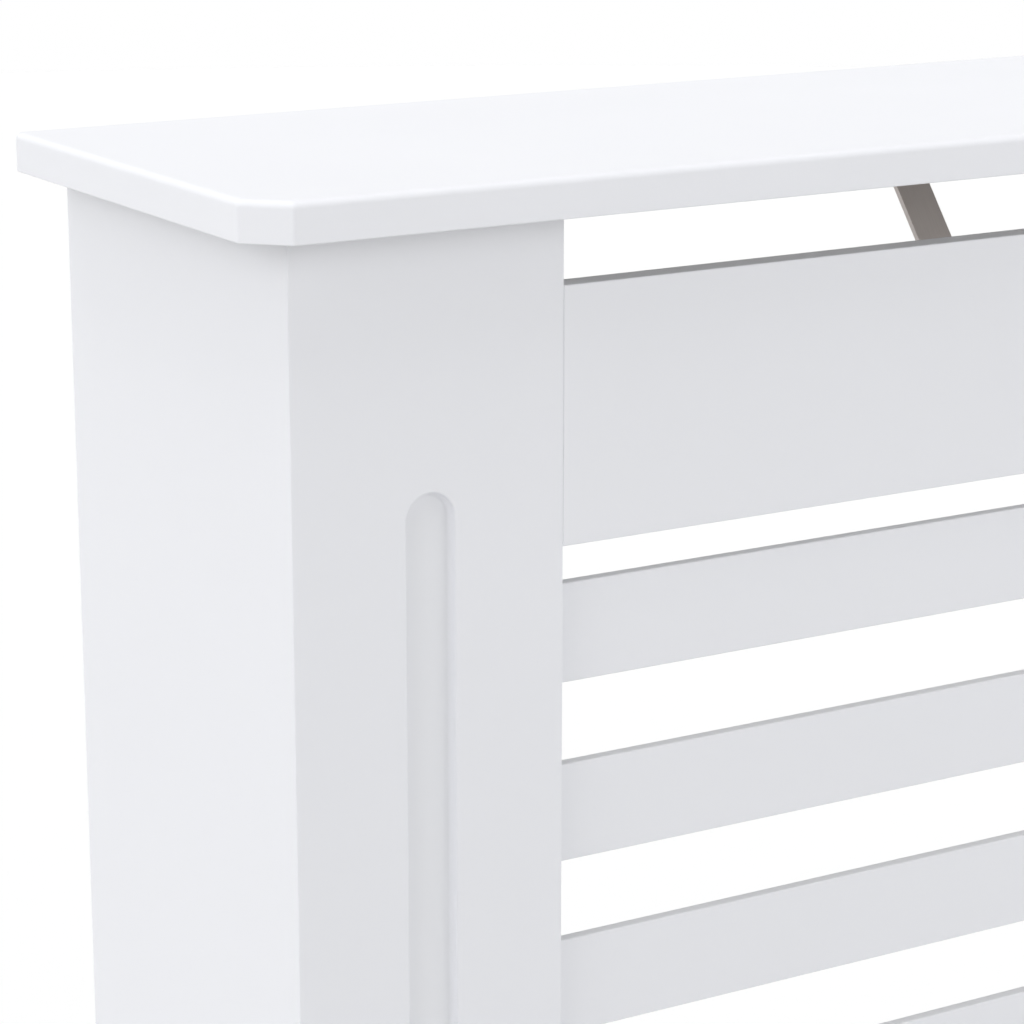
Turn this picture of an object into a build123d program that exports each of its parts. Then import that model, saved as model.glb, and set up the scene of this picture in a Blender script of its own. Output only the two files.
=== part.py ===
from build123d import *

import math
import os

# Radiator cover cabinet, in millimetres. +X is to the right, +Y is towards the wall and
# +Z is up. The origin is on the floor, under the centre of the top board.

# ---- Driving sizes ----

overall_width = 780.0  # length of the top board
overall_depth = 190.0  # front edge of the top board to the wall
overall_height = 815.0

top_thickness = 14.0
top_round = 2.5  # rounding along the top board's upper edges
top_corner = 13.0  # leg of the 45 degree chamfer on each front corner
top_corner_round = 1.5  # rounding of the chamfer's own upright edges
top_side_overhang = 18.5  # past the stile's outer edge
top_front_overhang = 16.0  # past the stile's front face

board = 9.5  # thickness of stiles, side panels and rails
edge_round = 0.5  # eased edge of a cut board
round_share = 0.45  # a rounding takes at most this share of a board's thickness

stile_width = 102.5
side_step = 1.0  # the stile stands out past the side panel by this much
flute_width = 18.5
flute_depth = 3.4
flute_floor_round = 1.8  # rounding between the flute's wall and floor
flute_end_distance = 89.3  # from each end of the stile to the flute's end
flute_rim_round = 0.8

rail_height = 89.5
top_gap = 25.0  # between top board and upper rail
floor_gap = 77.5  # under the lower rail

slat_count = 8
slat_height = 35.5
slat_thickness = 4.5
rail_slat_gap = 14.5  # between a rail and the slat beside it
slat_lap = 15.0  # how far slats and rails reach behind the stile
rebate_end_clearance = 1.0

batten_width = 30.0
batten_thickness = 12.0

post_side = 20.0
dowel_diameter = 8.0
dowel_in_post = 20.0
dowel_chamfer = 1.0
dowel_end_clearance = 0.5
dowel_cover = 5.0  # top board left above the dowel's hole

strap_width = 15.0
strap_thickness = 2.0
strap_bend = 5.0  # outer radius of the strap's bends
strap_tab = 24.0
strap_from_stile = 179.7  # stile's inner edge to the strap's centre line
strap_reach = 45.2  # behind the rail, where the strap meets the top board
strap_drop = 57.5  # under the top board, where the strap meets the rail

angle_leg = 30.0
angle_width = 16.0
angle_thickness = 2.0
angle_bend = 3.0  # outer radius
front_bracket_from_post = 32.0  # post's back face to the bracket's centre
rear_bracket_from_wall = 35.0  # wall to the bracket's centre
wall_bracket_leg = 35.0
wall_bracket_width = 20.0
wall_bracket_spacing = 400.0
wall_hole = 6.0

hole_clearance = 0.05  # on the radius of every bore that holds a screw or dowel
plate_hole_clearance = 0.25  # on the radius of the holes through brackets and straps
tip_clearance = 0.3  # past the tip of a screw
screw_cover = 1.5  # board left in front of a screw's tip

wood_screw = 3.5
wood_head = 7.0
batten_screw_inset = 7.0  # from the batten's outer edge
batten_screw_count = 5
batten_screw_end = 35.0
post_screw_bite = 5.0  # how far a post's screw goes into stile or side panel
post_screw_count = 4
post_screw_end = 60.0
post_screw_stagger = 30.0  # between screws into the stile and into the side panel

plate_screw = 4.0
plate_head = 7.6
plate_head_height = 2.4
plate_head_round = 0.8

recess_length = 3.8  # cross recess in every head
recess_width = 0.9
recess_depth = 1.2

same = 1e-6  # two coordinates this close are the same

# ---- Sizes and places that follow ----

half_width = overall_width / 2
wall_y = overall_depth / 2
underside = overall_height - top_thickness

front_y = -wall_y + top_front_overhang
board_back = front_y + board
stile_outer = half_width - top_side_overhang
stile_inner = stile_outer - stile_width
side_outer = stile_outer - side_step
side_inner = side_outer - board

upper_rail_top = underside - top_gap
lower_rail_bottom = floor_gap
slats_top = upper_rail_top - rail_height - rail_slat_gap
slats_bottom = lower_rail_bottom + rail_height + rail_slat_gap
slat_pitch = (slats_top - slats_bottom - slat_height) / (slat_count - 1)
slat_front = board_back - slat_thickness
lap_end = stile_inner + slat_lap
rebate_end = lap_end + rebate_end_clearance

batten_outer = stile_inner + batten_width
batten_back = board_back + batten_thickness
batten_screw_x = batten_outer - batten_screw_inset

post_inner = side_inner - post_side
post_back = board_back + post_side
post_x = side_inner - post_side / 2
post_y = board_back + post_side / 2

dowel_in_top = top_thickness - dowel_cover - dowel_end_clearance
dowel_length = dowel_in_post + dowel_in_top

batten_screw_length = batten_thickness + board - screw_cover
post_screw_length = post_side + post_screw_bite
plate_screw_length = angle_thickness + board - screw_cover
plate_hole = plate_screw + 2 * plate_hole_clearance

strap_x = stile_inner - strap_from_stile
front_bracket_y = post_back + front_bracket_from_post
rear_bracket_y = wall_y - rear_bracket_from_wall

# Directions that a screw's head points to.
DOWN = (0, 0, -1)
BACK = (0, 1, 0)
RIGHT = (1, 0, 0)


# ---- Small helpers ----


def block(x_range, y_range, z_range):
    """Box between two values on each axis."""
    ranges = (x_range, y_range, z_range)
    sizes = [high - low for low, high in ranges]
    centre = [(low + high) / 2 for low, high in ranges]
    return Pos(*centre) * Box(*sizes)


def spread(first, last, count):
    """Evenly spaced values from first to last."""
    step = (last - first) / (count - 1)
    return [first + step * index for index in range(count)]


def spot(x, y, z, direction):
    """Location whose own +Z points along direction."""
    return Plane(origin=(x, y, z), z_dir=direction).location


def turned(points):
    """Solid of revolution about Z from (radius, height) points."""
    outline = Polyline(*[(radius, 0, height) for radius, height in points], close=True)
    return revolve(make_face(outline), Axis.Z)


def cross_recess():
    """Cutter for a cross recess, sunk from z = 0."""
    depth = (-recess_depth, recess_depth)
    long_half = recess_length / 2
    short_half = recess_width / 2
    first = block((-long_half, long_half), (-short_half, short_half), depth)
    second = block((-short_half, short_half), (-long_half, long_half), depth)
    return first + second


def countersunk_form(length, grow=0.0, past_tip=0.0):
    """Countersunk screw with its head's face at z = 0, or the hole for it."""
    head = wood_head / 2 + grow
    shank = wood_screw / 2 + grow
    cone = head - shank
    tip_start = -length + wood_screw
    end = -length - past_tip
    return turned([(0, 0), (head, 0), (shank, -cone), (shank, tip_start), (0, end)])


def plate_form(length, grow=0.0, past_tip=0.0):
    """Shank of a short screw whose head sits on a plate at z = 0, or its hole."""
    shank = plate_screw / 2 + grow
    tip_start = -length + plate_screw
    end = -length - past_tip
    return turned([(0, 0), (shank, 0), (shank, tip_start), (0, end)])


def countersunk_screw(length):
    return countersunk_form(length) - cross_recess()


def plate_screw_solid():
    """Short screw with a rounded head standing on z = 0."""
    head = Cylinder(plate_head / 2, plate_head_height, align=(Align.CENTER, Align.CENTER, Align.MIN))
    rim = head.edges().group_by(Axis.Z)[-1]
    head = fillet(rim, plate_head_round)
    recess = Pos(0, 0, plate_head_height) * cross_recess()
    return head + plate_form(plate_screw_length) - recess


def countersunk_hole(length):
    return countersunk_form(length, hole_clearance, tip_clearance)


def plate_pilot():
    """Pilot hole for a short screw, seen from the plate's outer side at z = 0."""
    return plate_form(plate_screw_length, hole_clearance, tip_clearance)


def at_each(places, form):
    return [place * form for place in places]


def eased(edges, radius):
    """Round the edges, by no more than the thinnest board allows."""
    return fillet(edges, min(radius, round_share * slat_thickness))


# ---- Where the fasteners go, on the left side ----


def batten_screw_spots():
    heights = spread(
        lower_rail_bottom + batten_screw_end, upper_rail_top - batten_screw_end, batten_screw_count
    )
    return [spot(-batten_screw_x, batten_back, z, BACK) for z in heights]


def post_screw_spots():
    """Screws through the post, alternately into the stile and into the side panel."""
    heights = spread(post_screw_end, underside - post_screw_end - post_screw_stagger, post_screw_count)
    into_stile = [spot(-post_x, post_back, z, BACK) for z in heights]
    into_side = [spot(-post_inner, post_y, z + post_screw_stagger, RIGHT) for z in heights]
    return into_stile + into_side


def strap_screw_spots():
    """One screw up into the top board and one forward into the upper rail."""
    top_y = board_back + strap_reach + strap_tab / 2
    rail_z = underside - strap_drop - strap_tab / 2
    return [
        spot(-strap_x, top_y, underside - strap_thickness, DOWN),
        spot(-strap_x, board_back + strap_thickness, rail_z, BACK),
    ]


def bracket_hole_distance():
    """From a bracket's outer corner to the hole, in the middle of the leg's flat."""
    return (angle_leg + angle_bend) / 2


def bracket_screw_spots(centre_y):
    """One screw up into the top board and one sideways into the side panel."""
    hole = bracket_hole_distance()
    return [
        spot(-side_inner + hole, centre_y, underside - angle_thickness, DOWN),
        spot(-side_inner + angle_thickness, centre_y, underside - hole, RIGHT),
    ]


def wall_bracket_screw_spot():
    hole = bracket_hole_distance()
    return spot(-wall_bracket_spacing / 2, wall_y - hole, underside - angle_thickness, DOWN)


def top_screw_spots():
    """Every left-hand screw that goes up into the top board."""
    return [
        strap_screw_spots()[0],
        bracket_screw_spots(front_bracket_y)[0],
        bracket_screw_spots(rear_bracket_y)[0],
        wall_bracket_screw_spot(),
    ]


# ---- Boards ----


def top_board():
    outline = Rectangle(overall_width, overall_depth)
    corners = outline.vertices().group_by(Axis.Y)
    outline = chamfer(corners[0], top_corner)
    corners = outline.vertices().group_by(Axis.Y)
    outline = fillet(corners[-1], top_round)
    near_corner = outline.vertices().filter_by(lambda v: v.Y < -wall_y + top_corner + top_corner_round)
    outline = fillet(near_corner, top_corner_round)
    solid = Pos(0, 0, underside) * extrude(outline, top_thickness)
    upper = solid.edges().filter_by(lambda e: abs(e.center().Z - overall_height) < same)
    solid = fillet(upper, min(top_round, round_share * top_thickness))
    lower = solid.edges().filter_by(lambda e: abs(e.center().Z - underside) < same)
    solid = eased(lower, edge_round)
    cuts = [dowel_hole(-post_x), dowel_hole(post_x)]
    for pilot in at_each(top_screw_spots(), plate_pilot()):
        cuts.append(pilot)
        cuts.append(mirror(pilot, about=Plane.YZ))
    return solid - cuts


def dowel_hole(x):
    radius = dowel_diameter / 2 + hole_clearance
    low = underside - dowel_in_post - dowel_end_clearance
    high = underside + dowel_in_top + dowel_end_clearance
    return Pos(x, post_y, (low + high) / 2) * Cylinder(radius, high - low)


def flute():
    """Cutter for the routed groove with round ends and a rounded floor."""
    length = underside - 2 * flute_end_distance
    slot = SlotOverall(length, flute_width, rotation=90)
    centre_x = -(stile_outer + stile_inner) / 2
    face = Plane(origin=(centre_x, front_y, underside / 2), x_dir=RIGHT, z_dir=(0, -1, 0))
    cutter = extrude(face * slot, -flute_depth)
    floor_edges = cutter.edges().group_by(Axis.Y)[-1]
    return fillet(floor_edges, min(flute_floor_round, round_share * flute_width, flute_depth - flute_rim_round))


def left_stile():
    outer = -stile_outer
    inner = -stile_inner
    stile = block((outer, inner), (front_y, board_back), (0, underside))
    upright = stile.edges().filter_by(Axis.Z)
    inner_back = upright.sort_by(lambda e: e.center().X + e.center().Y)[-1:]
    stile = eased(upright - inner_back, edge_round)
    stile -= flute()
    rim = stile.faces().sort_by(Axis.Y)[0].inner_wires()[0].edges()
    stile = eased(rim, flute_rim_round)
    cuts = [block((-rebate_end, inner), (slat_front, board_back), (0, underside))]
    cuts += at_each(batten_screw_spots(), countersunk_hole(batten_screw_length))
    cuts += at_each(post_screw_spots(), countersunk_hole(post_screw_length))
    return stile - cuts


def left_side_panel():
    panel = block((-side_outer, -side_inner), (board_back, wall_y), (0, underside))
    back_edges = panel.edges().filter_by(Axis.Z).filter_by(lambda e: e.center().Y > wall_y - same)
    panel = eased(back_edges, edge_round)
    cuts = at_each(post_screw_spots(), countersunk_hole(post_screw_length))
    for centre_y in (front_bracket_y, rear_bracket_y):
        cuts.append(bracket_screw_spots(centre_y)[1] * plate_pilot())
    return panel - cuts


def rail(bottom):
    """Wide board of the grille, with a thin tongue behind each stile."""
    heights = (bottom, bottom + rail_height)
    body = block((-stile_inner, stile_inner), (front_y, board_back), heights)
    front_edges = body.edges().filter_by(lambda e: e.center().Y < front_y + same)
    body = eased(front_edges, edge_round)
    return body + block((-lap_end, lap_end), (slat_front, board_back), heights)


def upper_rail():
    pilot = strap_screw_spots()[1] * plate_pilot()
    cuts = [pilot, mirror(pilot, about=Plane.YZ)]
    return rail(upper_rail_top - rail_height) - cuts


def lower_rail():
    return rail(lower_rail_bottom)


def slat(number):
    """Slats are counted from the top."""
    top = slats_top - slat_pitch * (number - 1)
    strip = block((-lap_end, lap_end), (slat_front, board_back), (top - slat_height, top))
    return eased(strip.edges().filter_by(Axis.X), edge_round)


# ---- Strips and blocks behind the front ----


def left_batten():
    strip = block(
        (-batten_outer, -stile_inner), (board_back, batten_back), (lower_rail_bottom, upper_rail_top)
    )
    back_edges = strip.edges().filter_by(Axis.Z).filter_by(lambda e: e.center().Y > batten_back - same)
    strip = eased(back_edges, edge_round)
    return strip - at_each(batten_screw_spots(), countersunk_hole(batten_screw_length))


def left_corner_post():
    post = block((-side_inner, -post_inner), (board_back, post_back), (0, underside))
    inside_edge = post.edges().filter_by(Axis.Z).sort_by(lambda e: e.center().X + e.center().Y)[-1:]
    post = eased(inside_edge, edge_round)
    cuts = at_each(post_screw_spots(), countersunk_hole(post_screw_length))
    return post - cuts - dowel_hole(-post_x)


def dowel(x):
    low = underside - dowel_in_post
    pin = Pos(x, post_y, low + dowel_length / 2) * Cylinder(dowel_diameter / 2, dowel_length)
    rims = pin.edges().filter_by(GeomType.CIRCLE)
    return chamfer(rims, dowel_chamfer)


# ---- Metal ----


def plate_through_hole(place):
    """Clearance hole through a plate under a short screw's head."""
    return place * Cylinder(plate_hole / 2, 4 * angle_thickness)


def left_brace():
    """Flat strap bent at both ends, from the top board's underside to the rail's back."""
    route = FilletPolyline(
        (-strap_x, board_back + strap_reach + strap_tab, underside),
        (-strap_x, board_back + strap_reach, underside),
        (-strap_x, board_back, underside - strap_drop),
        (-strap_x, board_back, underside - strap_drop - strap_tab),
        radius=strap_bend,
    )
    start = Plane(origin=route @ 0, x_dir=RIGHT, z_dir=(0, -1, 0))
    section = start * Pos(0, -strap_thickness / 2) * Rectangle(strap_width, strap_thickness)
    strap = sweep(section, path=route)
    return strap - [plate_through_hole(place) for place in strap_screw_spots()]


def angle(leg_down, width):
    """Bent plate with its outer corner on the Y axis, one leg along +X, one down."""
    inner_bend = angle_bend - angle_thickness
    corner = Plane.XZ * make_face(
        Polyline(
            (0, 0),
            (angle_leg, 0),
            (angle_leg, -angle_thickness),
            (angle_thickness, -angle_thickness),
            (angle_thickness, -leg_down),
            (0, -leg_down),
            close=True,
        )
    )
    bent = extrude(corner, width / 2, both=True)
    across = bent.edges().filter_by(Axis.Y)
    outer = across.filter_by(lambda e: abs(e.center().X) < same and abs(e.center().Z) < same)
    bent = fillet(outer, angle_bend)
    across = bent.edges().filter_by(Axis.Y)
    inner = across.filter_by(
        lambda e: abs(e.center().X - angle_thickness) < same and abs(e.center().Z + angle_thickness) < same
    )
    return fillet(inner, inner_bend)


def left_bracket(centre_y):
    """Angle bracket between the side panel and the top board."""
    bent = Pos(-side_inner, centre_y, underside) * angle(angle_leg, angle_width)
    return bent - [plate_through_hole(place) for place in bracket_screw_spots(centre_y)]


def left_wall_bracket():
    """Angle bracket under the top board's back edge, with a hole for a wall screw."""
    x = -wall_bracket_spacing / 2
    bent = Pos(x, wall_y, underside) * Rot(0, 0, -90) * angle(wall_bracket_leg, wall_bracket_width)
    wall_z = underside - wall_hole_distance()
    to_wall = spot(x, wall_y, wall_z, BACK) * Cylinder(wall_hole / 2, 4 * angle_thickness)
    return bent - [plate_through_hole(wall_bracket_screw_spot()), to_wall]


def wall_hole_distance():
    """From the top board's underside to the wall screw's hole."""
    return (wall_bracket_leg + angle_bend) / 2


# ---- The assembly ----

parts = {}


def both_sides(name, left_part):
    """A left-hand piece and its mirror image."""
    parts["left_" + name] = left_part
    parts["right_" + name] = mirror(left_part, about=Plane.YZ)


def with_mirror(solids):
    """Left-hand solids and their mirror images."""
    return solids + [mirror(solid, about=Plane.YZ) for solid in solids]


parts["top_board"] = top_board()
both_sides("stile", left_stile())
both_sides("side_panel", left_side_panel())
parts["upper_rail"] = upper_rail()
parts["lower_rail"] = lower_rail()
for number in range(1, slat_count + 1):
    parts[f"slat_{number}"] = slat(number)

both_sides("batten", left_batten())
both_sides("corner_post", left_corner_post())
both_sides("brace", left_brace())
both_sides("front_bracket", left_bracket(front_bracket_y))
both_sides("rear_bracket", left_bracket(rear_bracket_y))
both_sides("wall_bracket", left_wall_bracket())

parts["post_dowels"] = Compound(with_mirror([dowel(-post_x)]))
both_sides("batten_screws", Compound(at_each(batten_screw_spots(), countersunk_screw(batten_screw_length))))
both_sides("post_screws", Compound(at_each(post_screw_spots(), countersunk_screw(post_screw_length))))
short_screw = plate_screw_solid()
bracket_spots = bracket_screw_spots(front_bracket_y) + bracket_screw_spots(rear_bracket_y)
parts["brace_screws"] = Compound(with_mirror(at_each(strap_screw_spots(), short_screw)))
parts["bracket_screws"] = Compound(with_mirror(at_each(bracket_spots, short_screw)))
parts["wall_bracket_screws"] = Compound(with_mirror([wall_bracket_screw_spot() * short_screw]))

os.makedirs("parts", exist_ok=True)
for name, part in parts.items():
    export_step(part, f"parts/{name}.step")
print("pieces", len(parts))
print("slat gap", round(slat_pitch - slat_height, 2))
print("strap angle", round(math.degrees(math.atan2(strap_drop, strap_reach)), 1))
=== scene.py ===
# %% [markdown]
# # A white radiator cover
#
# The real thing is a flat-pack cover that stands in front of a panel radiator. It is
# made of fibreboard sprayed with satin white lacquer: a top board with rounded edges,
# two corners that each join a front stile to a side panel, and a grille of thin slats
# between two rails. Inside are bare pine posts, zinc-plated brackets and steel straps.
#
# Every board already has its real size and its real rounded edges in the frame that is
# loaded here, so this lesson is about finish and light. White on white is a good
# exercise: with no strong colour to help, the object is drawn by soft shadow alone.

# %% Load the frame
import bpy
import math
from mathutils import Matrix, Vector


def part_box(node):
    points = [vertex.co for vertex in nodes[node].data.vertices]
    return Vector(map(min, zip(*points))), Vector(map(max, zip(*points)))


MM = 0.001  # in metres

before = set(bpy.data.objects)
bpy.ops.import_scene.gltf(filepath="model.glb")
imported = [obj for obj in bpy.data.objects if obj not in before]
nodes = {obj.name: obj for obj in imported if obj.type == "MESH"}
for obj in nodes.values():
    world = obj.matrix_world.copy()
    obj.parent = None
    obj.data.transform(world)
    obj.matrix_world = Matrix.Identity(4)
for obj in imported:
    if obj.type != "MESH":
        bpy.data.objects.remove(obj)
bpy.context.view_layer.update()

# %% [markdown]
# ## Three helpers
#
# A paint maker gives colours as sRGB hex values, but shaders add light, which is
# linear. One function turns the first into the second. A second small function adds a
# shader node, sets it and links it, so that each material below reads as a recipe. The
# third gives such a recipe an empty material to start from.

# %% Colours from hex
def linear(hex_colour):
    """An sRGB hex colour, such as #ECEDF1, as linear red, green, blue and alpha 1."""
    channels = [int(hex_colour[i : i + 2], 16) / 255 for i in (1, 3, 5)]
    toe, slope, offset, power = 0.04045, 12.92, 0.055, 2.4
    made = [c / slope if c <= toe else ((c + offset) / (1 + offset)) ** power for c in channels]
    return (*made, 1.0)


print("#808080 looks half bright, and is", round(linear("#808080")[0], 3), "of the light")


# %% One function for every node
def add(owner, kind, inputs=None, **settings):
    """Adds a node to a material or world. inputs maps a socket to its value or its source."""
    tree = owner.node_tree
    made = tree.nodes.new(kind)
    for name, value in settings.items():
        setattr(made, name, value)
    for socket, value in (inputs or {}).items():
        if isinstance(value, bpy.types.NodeSocket):
            tree.links.new(value, made.inputs[socket])
        else:
            made.inputs[socket].default_value = value
    return made


# A Mix node has a set of sockets for each type of data. These are the ones for colours.
SHARE, FIRST, SECOND, MIXED = 0, 6, 7, 2


def blank(name):
    """A material with nodes and none of the usual ones."""
    material = bpy.data.materials.new(name)
    material.use_nodes = True
    material.node_tree.nodes.clear()
    return material


# %% [markdown]
# ## Real sizes for patterns
#
# A noise texture's scale is how many features fit in one unit of its coordinates. The
# coordinates here are metres in the object's own frame, so a feature of 2 mm needs a
# scale of 500. Writing the real size and dividing keeps the patterns honest. A noise's
# detail is how many finer layers lie on the first: few on a smooth thing, more on wood.

# %% Pattern scale
NOISE_LOW, NOISE_HIGH = 0.3, 0.7  # nearly all of a noise texture lies between these


def per_metre(feature_mm):
    """Noise scale for features of this many millimetres."""
    return 1 / (feature_mm * MM)


print("scale for features of 2 mm", round(per_metre(2)))

# %% [markdown]
# ## Satin lacquer on fibreboard
#
# Medium density fibreboard is sanded, primed and sprayed with a polyurethane lacquer.
# Three things give it away as real:
#
# * **orange peel**, the faint ripple of sprayed lacquer, about 2 mm from crest to crest
#   and a few thousandths of a millimetre high;
# * **cut edges**, where the saw or router has opened the board's fibres. They are a little
#   rougher than the pressed faces. Here the thick boards' edges stay white, and the thin
#   slats' edges are painted greyer: painted shade, for the shade that falls between the
#   slats. Here the thick boards' edges stay white, as if sealed before spraying, and the
#   thin slats' edges turn greyer, as if they drank the paint. Both follow the tones of the
#   photograph, and the reason is a guess;
# * **rounded arrises**, where paint pulls thin. They are a trace glossier.
#
# The flute in each stile is a cut surface too, although it looks the same way as the
# face around it. What tells it apart is that it lies deeper than the board's front. Its
# floor is painted greyer: painted shade, for the shade in the recess.
#
# The top board's underside is hidden, and it is painted grey as painted shade, a guess
# for the dim light under the board. It matters all the same: a white one throws more
# light down, onto the dark line on top of the rail.
#
# A texture map could hold all this, but it would blur near the camera. Nodes stay sharp,
# and the board's own normals say which surface is a face, a cut edge or a rounding.

# %% One part of a place or of a direction
AXIS_X, AXIS_Y, AXIS_Z = 0, 1, 2


def part_along(material, vector, axis):
    """The part along one axis of the surface's place, "Object", or direction, "Normal"."""
    whole = add(material, "ShaderNodeTexCoord").outputs[vector]
    return add(material, "ShaderNodeSeparateXYZ", {0: whole}).outputs[axis]


# %% Mask of the pressed faces
CUT, PRESSED = 0.90, 0.995  # the normal's part along the thin way, on an edge and a face


def face_mask(material, axis):
    """1 on a board's pressed faces and 0 on its cut edges. axis is the board's thin way."""
    part = part_along(material, "Normal", axis)
    size = add(material, "ShaderNodeMath", {0: part}, operation="ABSOLUTE").outputs[0]
    limits = {"Value": size, "From Min": CUT, "From Max": PRESSED}
    return add(material, "ShaderNodeMapRange", limits).outputs[0]


# %% Mask of the rounded edges
FLAT, ROUNDED = 0.995, 0.72  # the normal's largest part, on a flat and inside a rounding


def arris_mask(material):
    """1 in the middle of a rounded edge, and 0 on any surface square to the axes."""
    normal = add(material, "ShaderNodeTexCoord").outputs["Normal"]
    size = add(material, "ShaderNodeVectorMath", {0: normal}, operation="ABSOLUTE")
    parts = add(material, "ShaderNodeSeparateXYZ", {0: size.outputs[0]}).outputs
    largest = parts[AXIS_X]
    for axis in (AXIS_Y, AXIS_Z):
        pair = {0: largest, 1: parts[axis]}
        largest = add(material, "ShaderNodeMath", pair, operation="MAXIMUM").outputs[0]
    limits = {"Value": largest, "From Min": FLAT, "From Max": ROUNDED}
    return add(material, "ShaderNodeMapRange", limits).outputs[0]


# %% Mask of the underside
SIDEWAYS, DOWNWARDS = -0.90, -0.99  # the normal's upward part, above and on the underside


def underside_mask(material):
    """1 on a surface that looks straight down."""
    part = part_along(material, "Normal", AXIS_Z)
    limits = {"Value": part, "From Min": SIDEWAYS, "From Max": DOWNWARDS}
    return add(material, "ShaderNodeMapRange", limits).outputs[0]


# %% Mask of the routed flute
STILE_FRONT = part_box("left_stile")[0][AXIS_Y]
SKIN_MM = (1.0, 2.0)  # how deep in the board its pressed skin begins to end, and has ended
SLOPED, FORWARDS = -0.9, -0.99  # the normal's part along Y


def routed_mask(material):
    """1 on a surface that looks forwards from behind a stile's pressed skin."""
    skin = [STILE_FRONT + depth * MM for depth in SKIN_MM]
    masks = []
    for vector, (start, end) in (("Object", skin), ("Normal", (SLOPED, FORWARDS))):
        part = part_along(material, vector, AXIS_Y)
        limits = {"Value": part, "From Min": start, "From Max": end}
        masks.append(add(material, "ShaderNodeMapRange", limits).outputs[0])
    both = add(material, "ShaderNodeMath", {0: masks[0], 1: masks[1]}, operation="MULTIPLY")
    return both.outputs[0]


print("the stiles' front is at Y in mm", round(STILE_FRONT / MM, 1))

# %% The lacquer's colour
LACQUER_WHITE = "#ECEDF1"  # satin white with a trace of blue
LACQUER_THIN_AND_SHADE = "#E6E7EA"  # a greyer white: the slow cloud of a thin film, and painted shade on the slats' edges and in the flute
# painted shade: the top board's underside is grey, so it throws less light down
UNDERSIDE_SHADE_GREY = "#A6A5A3"
CLOUD_SHARE = 0.16  # how far the cloud goes towards the thin colour


def lacquer_colour(material, cloud, painted_shade, shaded_below):
    """White with a slow cloud, greyer where painted shade is asked for, and grey as painted shade
    on surfaces that look straight down, if asked.
    """
    cloud_and_shade = {0: cloud, 1: CLOUD_SHARE, 2: painted_shade}
    film_and_shade = add(material, "ShaderNodeMath", cloud_and_shade, operation="MULTIPLY_ADD").outputs[0]
    paints = {SHARE: film_and_shade, FIRST: linear(LACQUER_WHITE), SECOND: linear(LACQUER_THIN_AND_SHADE)}
    colour = add(material, "ShaderNodeMix", paints, data_type="RGBA").outputs[MIXED]
    # painted shade: a surface that looks straight down is painted grey
    if shaded_below:
        paints = {SHARE: underside_mask(material), FIRST: colour, SECOND: linear(UNDERSIDE_SHADE_GREY)}
        colour = add(material, "ShaderNodeMix", paints, data_type="RGBA").outputs[MIXED]
    return colour


# %% The lacquer's gloss
SATIN_LOW, SATIN_HIGH = 0.48, 0.56  # roughness where the film is thick and where it is thin
ARRIS_GLOSS = 0.06  # how much the roughness drops on a rounding


def lacquer_gloss(material, cloud):
    """Satin, with the same slow cloud as the colour, and glossier on the roundings."""
    sheen = add(
        material,
        "ShaderNodeMapRange",
        {
            "Value": cloud,
            "From Min": NOISE_LOW,
            "From Max": NOISE_HIGH,
            "To Min": SATIN_LOW,
            "To Max": SATIN_HIGH,
        },
    )
    rough = {0: arris_mask(material), 1: -ARRIS_GLOSS, 2: sheen.outputs[0]}
    return add(material, "ShaderNodeMath", rough, operation="MULTIPLY_ADD").outputs[0]


# %% The lacquer's relief
PEEL_MM = 2.2  # crest to crest of the orange peel
PEEL_DETAIL = 1.0
PEEL_HEIGHT_MM = 0.004
FIBRE_MM = 0.7  # opened fibres; drawn twice as coarse as real ones, to show at all
FIBRE_DETAIL = 3.0
FIBRE_HEIGHT_MM = 0.012


def lacquer_relief(material, place, cut):
    """Orange peel everywhere, and opened fibres where the board was cut."""
    ripple = {"Vector": place, "Scale": per_metre(PEEL_MM), "Detail": PEEL_DETAIL}
    peel = add(material, "ShaderNodeTexNoise", ripple).outputs["Fac"]
    height = {"Height": peel, "Distance": PEEL_HEIGHT_MM * MM}
    rippled = add(material, "ShaderNodeBump", height).outputs[0]

    nap = {"Vector": place, "Scale": per_metre(FIBRE_MM), "Detail": FIBRE_DETAIL}
    fibre = add(material, "ShaderNodeTexNoise", nap).outputs["Fac"]
    opened = add(material, "ShaderNodeMath", {0: fibre, 1: cut}, operation="MULTIPLY").outputs[0]
    height = {"Height": opened, "Distance": FIBRE_HEIGHT_MM * MM, "Normal": rippled}
    return add(material, "ShaderNodeBump", height).outputs[0]


# %% The lacquer
RESIN_IOR = 1.5  # of lacquer, and of the resins and cell walls in wood
CLOUD_MM = 90.0  # slow change of film thickness from one pass of the spray gun to the next
CLOUD_DETAIL = 2.0
UNSHADED_EDGE, SHADED_EDGE = 0.0, 1.0  # how far a cut edge is painted greyer, as painted shade
FLUTE_SHADE = 0.6  # painted shade in the flute, matched to the tone of the flute in the photograph


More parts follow.
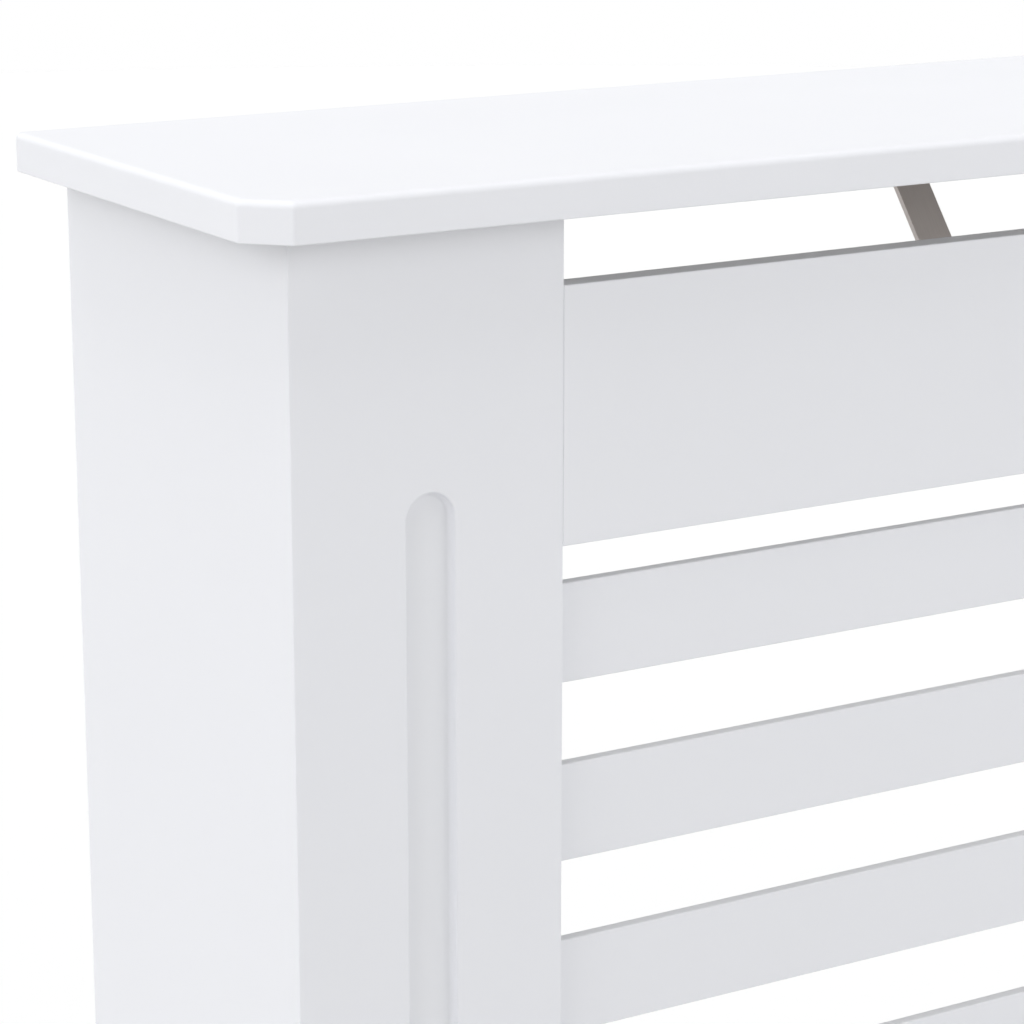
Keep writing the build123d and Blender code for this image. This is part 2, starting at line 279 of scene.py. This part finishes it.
def satin_lacquer(name, axis, edge=UNSHADED_EDGE, shaded_below=False, fluted=False):
    """Sprayed satin lacquer on a fibreboard. axis is the board's thin way."""
    material = blank(name)
    place = add(material, "ShaderNodeTexCoord").outputs["Object"]
    film = {"Vector": place, "Scale": per_metre(CLOUD_MM), "Detail": CLOUD_DETAIL}
    cloud = add(material, "ShaderNodeTexNoise", film).outputs["Fac"]

    face = face_mask(material, axis)
    cut = add(material, "ShaderNodeMath", {0: 1.0, 1: face}, operation="SUBTRACT").outputs[0]
    painted_shade = add(material, "ShaderNodeMath", {0: cut, 1: edge}, operation="MULTIPLY").outputs[0]
    # the flute's floor is painted greyer, as painted shade
    if fluted:
        routed = routed_mask(material)
        both = {0: routed, 1: FLUTE_SHADE, 2: painted_shade}
        painted_shade = add(material, "ShaderNodeMath", both, operation="MULTIPLY_ADD").outputs[0]
        cut = add(material, "ShaderNodeMath", {0: cut, 1: routed}, operation="MAXIMUM").outputs[0]

    finish = {
        "Base Color": lacquer_colour(material, cloud, painted_shade, shaded_below),
        "Roughness": lacquer_gloss(material, cloud),
        "IOR": RESIN_IOR,
        "Normal": lacquer_relief(material, place, cut),
    }
    lacquer = add(material, "ShaderNodeBsdfPrincipled", finish)
    add(material, "ShaderNodeOutputMaterial", {"Surface": lacquer.outputs[0]})
    return material


# %% Paint the boards
# the top board's underside is painted grey, as painted shade
top_lacquer = satin_lacquer("satin_lacquer_top", AXIS_Z, shaded_below=True)
side_lacquer = satin_lacquer("satin_lacquer_side", AXIS_X)
front_lacquer = satin_lacquer("satin_lacquer_front", AXIS_Y)
# the slats' edges are painted greyer, as painted shade
slat_lacquer = satin_lacquer("satin_lacquer_slats", AXIS_Y, edge=SHADED_EDGE)
# the stiles' flutes are painted greyer, as painted shade
stile_lacquer = satin_lacquer("satin_lacquer_stiles", AXIS_Y, fluted=True)


def give(names, material):
    """Puts one material in every slot of the named pieces."""
    for name in names:
        for slot in nodes[name].material_slots:
            slot.material = material
    print(material.name, "on", len(names), "pieces")


slats = [name for name in nodes if name.startswith("slat_")]
give(["top_board"], top_lacquer)
give(["left_side_panel", "right_side_panel"], side_lacquer)
give(["left_stile", "right_stile"], stile_lacquer)
give(slats, slat_lacquer)
give(["upper_rail", "lower_rail", "left_batten", "right_batten"], front_lacquer)

# %% [markdown]
# ## Bare pine posts
#
# The glue blocks in the corners are planed pine and never painted. Each year the tree
# adds a pale ring in spring and a dark one in summer, so a planed face shows long bands
# along the grain. A wave texture gives bands that are too regular, so a noise bends it,
# and a second noise, stretched along the grain, draws the fine pores. To the eye that is
# a warm, matt, striped wood, the only strong colour on the whole cover.

# %% Growth rings
RING_MM = 5.0  # from one growth ring to the next
RING_STRETCH = 0.06  # along the grain a ring changes this much more slowly than across it
WAVE_PERIOD = 2 * math.pi / 10  # units of its own after which a wave texture repeats
BEND = 6.0  # how far the noise bends the rings
BEND_DETAIL = 2.0
BEND_SCALE = 1.2


def growth_rings(material, place):
    """Long, bent bands along Z. They run diagonally through a post, so each face has some."""
    grain = {"Vector": place, "Scale": (1.0, 1.0, RING_STRETCH)}
    bands = {
        "Vector": add(material, "ShaderNodeMapping", grain).outputs[0],
        "Scale": WAVE_PERIOD * per_metre(RING_MM),
        "Distortion": BEND,
        "Detail": BEND_DETAIL,
        "Detail Scale": BEND_SCALE,
    }
    return add(material, "ShaderNodeTexWave", bands, bands_direction="DIAGONAL").outputs["Fac"]


# %% Pores
PORE_MM = 0.8  # real pores are ten times finer and would not show
PORE_DETAIL = 4.0
PORE_STRETCH = 0.04  # the same as for rings


def fine_pores(material, place):
    """Fine dark strokes along Z."""
    grain = {"Vector": place, "Scale": (1.0, 1.0, PORE_STRETCH)}
    stretched = add(material, "ShaderNodeMapping", grain).outputs[0]
    strokes = {"Vector": stretched, "Scale": per_metre(PORE_MM), "Detail": PORE_DETAIL}
    return add(material, "ShaderNodeTexNoise", strokes).outputs["Fac"]


# %% Pine
PINE_PALE, PINE_DARK = "#E2C091", "#CDA06C"
PINE_ROUGH = 0.62  # planed, not sanded or oiled
PORE_SHARE = 0.45  # pores against rings in the colour
PORE_DEPTH_MM = 0.05
GRAIN_LOW, GRAIN_HIGH = 0.15, 1.3  # rings and pores together, from pale to dark


def planed_pine(name):
    """Planed softwood with its grain along Z."""
    material = blank(name)
    place = add(material, "ShaderNodeTexCoord").outputs["Object"]
    rings = growth_rings(material, place)
    pores = fine_pores(material, place)
    both = {0: pores, 1: PORE_SHARE, 2: rings}
    grain = add(material, "ShaderNodeMath", both, operation="MULTIPLY_ADD").outputs[0]
    limits = {"Value": grain, "From Min": GRAIN_LOW, "From Max": GRAIN_HIGH}
    dark = add(material, "ShaderNodeMapRange", limits).outputs[0]
    tones = {SHARE: dark, FIRST: linear(PINE_PALE), SECOND: linear(PINE_DARK)}
    height = {"Height": pores, "Distance": PORE_DEPTH_MM * MM}
    finish = {
        "Base Color": add(material, "ShaderNodeMix", tones, data_type="RGBA").outputs[MIXED],
        "Roughness": PINE_ROUGH,
        "IOR": RESIN_IOR,
        "Normal": add(material, "ShaderNodeBump", height).outputs[0],
    }
    wood = add(material, "ShaderNodeBsdfPrincipled", finish)
    add(material, "ShaderNodeOutputMaterial", {"Surface": wood.outputs[0]})
    return material


give(["left_corner_post", "right_corner_post"], planed_pine("planed_pine"))

# %% [markdown]
# ## Beech dowels
#
# Dowels are turned beech: a close, pinkish wood with short dark flecks and no rings to
# speak of, smoother than the planed pine. They hide in their holes, so a noise stretched
# along the grain is enough.

# %% Beech
BEECH_PALE, BEECH_FLECK = "#DDB88C", "#B98759"
BEECH_ROUGH = 0.55
FLECK_MM = 0.9
FLECK_DETAIL = 3.0
FLECK_STRETCH = 0.2  # a fleck is this much narrower than it is long


def turned_beech(name):
    """Beech with its grain along Z."""
    material = blank(name)
    place = add(material, "ShaderNodeTexCoord").outputs["Object"]
    grain = {"Vector": place, "Scale": (1.0, 1.0, FLECK_STRETCH)}
    stretched = add(material, "ShaderNodeMapping", grain).outputs[0]
    spots = {"Vector": stretched, "Scale": per_metre(FLECK_MM), "Detail": FLECK_DETAIL}
    flecks = add(material, "ShaderNodeTexNoise", spots).outputs["Fac"]
    tones = {SHARE: flecks, FIRST: linear(BEECH_PALE), SECOND: linear(BEECH_FLECK)}
    finish = {
        "Base Color": add(material, "ShaderNodeMix", tones, data_type="RGBA").outputs[MIXED],
        "Roughness": BEECH_ROUGH,
        "IOR": RESIN_IOR,
    }
    wood = add(material, "ShaderNodeBsdfPrincipled", finish)
    add(material, "ShaderNodeOutputMaterial", {"Surface": wood.outputs[0]})
    return material


give(["post_dowels"], turned_beech("turned_beech"))

# %% [markdown]
# ## Steel
#
# Two finishes. The straps are cold-rolled strip, left as it comes from the mill: a warm
# grey with fine lines along the rolling direction, too dull to mirror anything clearly.
# From the front they look dark, because what they mirror is the top board's grey underside, which
# is painted shade.
# The brackets and screws are zinc-plated: brighter, cooler, with soft cloudy patches from
# the bath. A metal has no colour of its own under its reflection, so metallic is 1 and
# the hex value is the tint of what it mirrors.
#
# Anisotropic reflection could hint at the rolling lines. A noise that is stretched along
# the strap draws the lines themselves, which hold up in a close view.

# %% Strap steel
STRAP_TINT = "#E0D9D5"
MILL_LOW, MILL_HIGH = 0.58, 0.70  # roughness between the lines and in them
ROLL_LINE_MM = 0.25  # between rolling lines, across the strap
ROLL_DETAIL = 2.0
ROLL_STRETCH = 0.02  # a line is this much narrower than it is long
ROLL_DEPTH_MM = 0.004


def rolled_steel(name):
    """Cold-rolled strip, with its lines along the strap, so finest across X."""
    material = blank(name)
    place = add(material, "ShaderNodeTexCoord").outputs["Object"]
    strap = {"Vector": place, "Scale": (1.0, ROLL_STRETCH, ROLL_STRETCH)}
    stretched = add(material, "ShaderNodeMapping", strap).outputs[0]
    scores = {"Vector": stretched, "Scale": per_metre(ROLL_LINE_MM), "Detail": ROLL_DETAIL}
    lines = add(material, "ShaderNodeTexNoise", scores).outputs["Fac"]
    sheen = {
        "Value": lines,
        "From Min": NOISE_LOW,
        "From Max": NOISE_HIGH,
        "To Min": MILL_LOW,
        "To Max": MILL_HIGH,
    }
    height = {"Height": lines, "Distance": ROLL_DEPTH_MM * MM}
    finish = {
        "Base Color": linear(STRAP_TINT),
        "Metallic": 1.0,
        "Roughness": add(material, "ShaderNodeMapRange", sheen).outputs[0],
        "Normal": add(material, "ShaderNodeBump", height).outputs[0],
    }
    metal = add(material, "ShaderNodeBsdfPrincipled", finish)
    add(material, "ShaderNodeOutputMaterial", {"Surface": metal.outputs[0]})
    return material


give(["left_brace", "right_brace"], rolled_steel("cold_rolled_steel"))

# %% Zinc plate
ZINC_BRIGHT, ZINC_DULL = "#D3D6D8", "#B7BCC0"
BATH_LOW, BATH_HIGH = 0.26, 0.42  # roughness of the bright and of the dull patches
PATCH_MM = 4.0
PATCH_DETAIL = 4.0


def zinc_plate(name):
    """Bright zinc over stamped steel."""
    material = blank(name)
    place = add(material, "ShaderNodeTexCoord").outputs["Object"]
    bath = {"Vector": place, "Scale": per_metre(PATCH_MM), "Detail": PATCH_DETAIL}
    patches = add(material, "ShaderNodeTexNoise", bath).outputs["Fac"]
    tints = {SHARE: patches, FIRST: linear(ZINC_BRIGHT), SECOND: linear(ZINC_DULL)}
    sheen = {
        "Value": patches,
        "From Min": NOISE_LOW,
        "From Max": NOISE_HIGH,
        "To Min": BATH_LOW,
        "To Max": BATH_HIGH,
    }
    finish = {
        "Base Color": add(material, "ShaderNodeMix", tints, data_type="RGBA").outputs[MIXED],
        "Metallic": 1.0,
        "Roughness": add(material, "ShaderNodeMapRange", sheen).outputs[0],
    }
    metal = add(material, "ShaderNodeBsdfPrincipled", finish)
    add(material, "ShaderNodeOutputMaterial", {"Surface": metal.outputs[0]})
    return material


hardware = [name for name in nodes if name.endswith(("bracket", "screws"))]
give(hardware, zinc_plate("zinc_plate"))

# %% [markdown]
# ## Floor and white room
#
# A studio sets a white object on white paper. The paper has to look white to the camera
# and still carry the object's shadow. More light would do the first and burn out the
# object, so the lamps stay at a plain level. The paper is a real, pale grey sheet that
# returns light to the boards, and it glows just enough to reach white where no shadow
# falls. Only the camera and mirrors see the glow, so it lights nothing.

# %% Rays that see the white
PLAIN_WHITE = (1.0, 1.0, 1.0, 1.0)


def seen_ray(owner):
    """1 for a ray from the camera, off a mirror or through glass, and 0 for any other."""
    path = add(owner, "ShaderNodeLightPath")
    seen = path.outputs["Is Camera Ray"]
    for kind in ("Is Glossy Ray", "Is Transmission Ray"):
        pair = {0: seen, 1: path.outputs[kind]}
        seen = add(owner, "ShaderNodeMath", pair, operation="MAXIMUM").outputs[0]
    return seen


# %% Paper
PAPER = "#C8C8C8"
PAPER_GLOW = 0.39  # the lamps bring the rest of the white


def studio_paper(name):
    """White paper that keeps its shadows."""
    material = blank(name)
    sheet = add(material, "ShaderNodeBsdfDiffuse", {"Color": linear(PAPER)})
    seen = {0: seen_ray(material), 1: PAPER_GLOW}
    level = add(material, "ShaderNodeMath", seen, operation="MULTIPLY").outputs[0]
    glow = add(material, "ShaderNodeEmission", {"Color": PLAIN_WHITE, "Strength": level})
    both = add(material, "ShaderNodeAddShader", {0: sheet.outputs[0], 1: glow.outputs[0]})
    add(material, "ShaderNodeOutputMaterial", {"Surface": both.outputs[0]})
    return material


# %% Floor
FLOOR_RADIUS = 7.0  # metres, wide enough to fill every view that looks down
FLOOR_CORNERS = 96  # enough to look round

turns = [2 * math.pi * index / FLOOR_CORNERS for index in range(FLOOR_CORNERS)]
rim = [(FLOOR_RADIUS * math.cos(turn), FLOOR_RADIUS * math.sin(turn), 0.0) for turn in turns]
floor_mesh = bpy.data.meshes.new("floor")
floor_mesh.from_pydata(rim, [], [tuple(range(FLOOR_CORNERS))])
floor_mesh.materials.append(studio_paper("white_paper"))
floor = bpy.data.objects.new("floor", floor_mesh)
bpy.context.scene.collection.objects.link(floor)
print("floor with", len(floor_mesh.vertices), "corners,", 2 * FLOOR_RADIUS, "m across")

# %% [markdown]
# ## Light
#
# White boards need soft light with a direction. A panel lamp close by would light the
# near end of a long board more than the far end. A sun lamp comes from so far away that
# it lights both ends alike, and with a wide angle it is as soft as a lit wall.
#
# The strengths set the tones of the planes. Overhead makes the top board nearly white.
# Two from the left make the side panel a little darker, and three from the front make
# the stiles darker again. Most of the light comes in low, so the shadow under the top
# board is a dark line that fades within a few centimetres. These six were found by
# rendering each wall alone and fitting the mix, by least squares, to the photograph's
# tones. Other mixes fit nearly as well. The photograph says little about the right and
# the back, so those two were chosen: the right is the darkest side, and both can be read.

# %% The room's own light
ROOM_LIGHT, ROOM_SEEN = 0.08, 1.0  # what falls on the object, and what the camera sees

world = bpy.data.worlds.new("white_room")
bpy.context.scene.world = world
world.use_nodes = True
world.node_tree.nodes.clear()
levels = {"Value": seen_ray(world), "To Min": ROOM_LIGHT, "To Max": ROOM_SEEN}
level = add(world, "ShaderNodeMapRange", levels).outputs[0]
sky = add(world, "ShaderNodeBackground", {"Color": PLAIN_WHITE, "Strength": level})
add(world, "ShaderNodeOutputWorld", {"Surface": sky.outputs[0]})


# %% A soft wall of light
def soft_wall(name, azimuth, elevation, strength, spread):
    """A wide sun. Azimuth 0 is in front of the cover and 90 on its right, in degrees."""
    lamp = bpy.data.lights.new(name, "SUN")
    lamp.energy, lamp.angle = strength, math.radians(spread)
    turn, rise = math.radians(azimuth), math.radians(elevation)
    flat = math.cos(rise)
    towards = Vector((math.sin(turn) * flat, -math.cos(turn) * flat, math.sin(rise)))
    holder = bpy.data.objects.new(name, lamp)
    holder.rotation_euler = (-towards).to_track_quat("-Z", "Y").to_euler()
    holder.visible_glossy = False  # the lacquer mirrors the white room and not the lamps
    bpy.context.scene.collection.objects.link(holder)


# %% Eight walls
WALL, PANEL = 70.0, 50.0  # spread in degrees: a whole wall, and a panel on it
LOW, HIGH, OVERHEAD = 5, 45, 90  # elevation in degrees

soft_wall("overhead", 0, OVERHEAD, 1.64, PANEL)
soft_wall("left", -90, LOW, 1.59, WALL)
soft_wall("left_high", -90, HIGH, 0.76, WALL)
soft_wall("front_left", -45, LOW, 0.49, WALL)
soft_wall("front", 0, LOW, 0.57, WALL)
soft_wall("front_right", 45, LOW, 1.22, PANEL)
soft_wall("right", 90, LOW, 0.60, WALL)
soft_wall("behind", 180, LOW, 0.85, WALL)
print("soft walls", len(bpy.data.lights))

# %% [markdown]
# ## Camera
#
# The picture is a close look at the upper left corner, from in front, from the left and
# from a little above. The camera stands about a metre from that corner with a long lens.
# Its place and angles were found by matching the corner's edges to the photograph.
#
# The photograph was taken level, with its lens shifted down, which keeps upright lines
# upright. Here the camera is tilted instead, so the lines lean a little. A shift that
# large would push the cover out of view when the camera goes round to the other sides.

# %% Camera
EYE_MM = (-833.0, -983.4, 974.2)
YAW_DEG = 31.02  # to the right of straight ahead
PITCH_DEG = 14.50  # downwards
LENS_MM = 115.0
SENSOR_MM = 36.0
NEAREST, FARTHEST = 0.05, 50.0  # metres

lens = bpy.data.cameras.new("camera")
lens.sensor_width = SENSOR_MM
lens.lens = LENS_MM
lens.clip_start, lens.clip_end = NEAREST, FARTHEST
camera = bpy.data.objects.new("camera", lens)
camera.location = [MM * value for value in EYE_MM]
camera.rotation_euler = (math.radians(90 - PITCH_DEG), 0.0, math.radians(-YAW_DEG))
bpy.context.scene.collection.objects.link(camera)
bpy.context.scene.camera = camera
print("picture angle in degrees", round(math.degrees(lens.angle), 1))

# %% [markdown]
# ## Plain colours
#
# The standard view shows colours as they were written, where others bend them.

# %% Plain colours
bpy.context.scene.view_settings.view_transform = "Standard"
